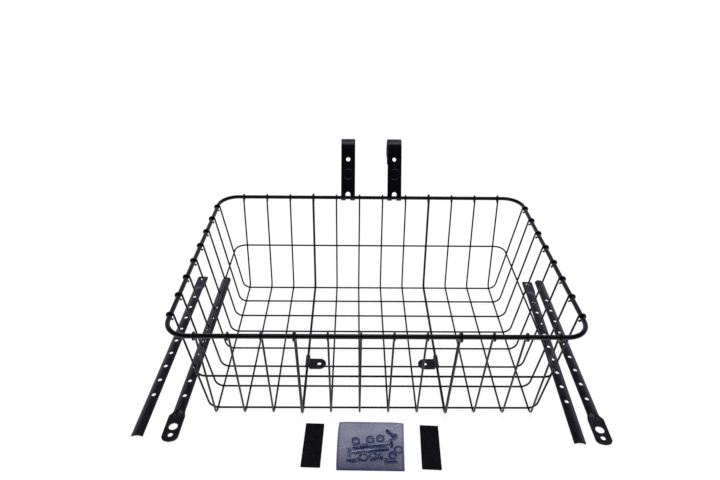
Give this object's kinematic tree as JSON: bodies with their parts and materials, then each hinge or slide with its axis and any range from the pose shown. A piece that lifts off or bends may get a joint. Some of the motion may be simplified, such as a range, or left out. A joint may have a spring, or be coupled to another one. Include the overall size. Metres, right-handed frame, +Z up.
{
  "type": "handlebar basket",
  "caption": "Welded wire basket with two strap clamps for a handlebar, two-piece support legs to the wheel axle, bar pads and a bag of fasteners.",
  "frame": {"origin": "on the table under the middle of the whole layout, basket and loose parts together", "axes": "+Z up; +Y towards the rear rim, the clamps and the handlebar; +X to the right as seen from the front of the basket looking towards the handlebar"},
  "size_m": [0.5718, 0.4241, 0.2248],
  "materials": {
    "coated_wire": "semi-gloss black powder coat",
    "coated_strap": "semi-gloss black powder coat on pressed strip",
    "coated_leg": "semi-gloss black powder coat on rolled strip",
    "pad_rubber": "matte black sheet rubber",
    "bag_film": "clear thin film with a faint lavender tint",
    "zinc_plate": "bright blue zinc plate"
  },
  "bodies": {
    "basket": {"rim": "coated_wire", "middle_ring": "coated_wire", "cross_wire_01": "coated_wire", "cross_wire_02": "coated_wire", "cross_wire_03": "coated_wire", "cross_wire_04": "coated_wire", "cross_wire_05": "coated_wire", "cross_wire_06": "coated_wire", "cross_wire_07": "coated_wire", "cross_wire_08": "coated_wire", "cross_wire_09": "coated_wire", "cross_wire_10": "coated_wire", "cross_wire_11": "coated_wire", "cross_wire_12": "coated_wire", "long_wire_1": "coated_wire", "long_wire_2": "coated_wire", "long_wire_3": "coated_wire", "long_wire_4": "coated_wire", "long_wire_5": "coated_wire", "long_wire_6": "coated_wire", "long_wire_7": "coated_wire", "long_wire_8": "coated_wire", "leg_tab_left": "coated_strap", "leg_tab_right": "coated_strap"},
    "clamp_left": {"clamp_left": "coated_strap"},
    "clamp_right": {"clamp_right": "coated_strap"},
    "upper_leg_left": {"upper_leg_left": "coated_leg"},
    "lower_leg_left": {"lower_leg_left": "coated_leg"},
    "lower_leg_right": {"lower_leg_right": "coated_leg"},
    "upper_leg_right": {"upper_leg_right": "coated_leg"},
    "bar_pad_left": {"bar_pad_left": "pad_rubber"},
    "bar_pad_right": {"bar_pad_right": "pad_rubber"},
    "parts_bag": {"parts_bag": "bag_film", "long_bolts": "zinc_plate", "short_bolts": "zinc_plate", "hex_nuts": "zinc_plate", "washers": "zinc_plate"}
  },
  "joints": [
    {"name": "clamp_left_swing", "type": "hinge", "parent": "basket", "child": "clamp_left", "pos_m": [-0.03612, 0.1535, 0.15], "axis": [-1, 0, 0], "range_deg": [-190, 138]},
    {"name": "clamp_right_swing", "type": "hinge", "parent": "basket", "child": "clamp_right", "pos_m": [0.03372, 0.1535, 0.15], "axis": [-1, 0, 0], "range_deg": [-190, 138]},
    {"name": "upper_leg_left_slide", "type": "slide", "parent": "basket", "child": "upper_leg_left", "axis": [-0.014, -0.9999, 0], "range_m": [0, 0.1]},
    {"name": "lower_leg_left_slide", "type": "slide", "parent": "basket", "child": "lower_leg_left", "axis": [-0.0157, -0.9999, 0], "range_m": [0, 0.1]},
    {"name": "lower_leg_right_slide", "type": "slide", "parent": "basket", "child": "lower_leg_right", "axis": [-0.0349, -0.9994, 0], "range_m": [0, 0.1]},
    {"name": "upper_leg_right_slide", "type": "slide", "parent": "basket", "child": "upper_leg_right", "axis": [-0.0628, -0.998, 0], "range_m": [0, 0.1]},
    {"name": "bar_pad_left_slide", "type": "slide", "parent": "basket", "child": "bar_pad_left", "axis": [0, -1, 0], "range_m": [0, 0.1]},
    {"name": "bar_pad_right_slide", "type": "slide", "parent": "basket", "child": "bar_pad_right", "axis": [0, -1, 0], "range_m": [0, 0.1]},
    {"name": "parts_bag_slide", "type": "slide", "parent": "basket", "child": "parts_bag", "axis": [0, -1, 0], "range_m": [0, 0.1]}
  ]
}
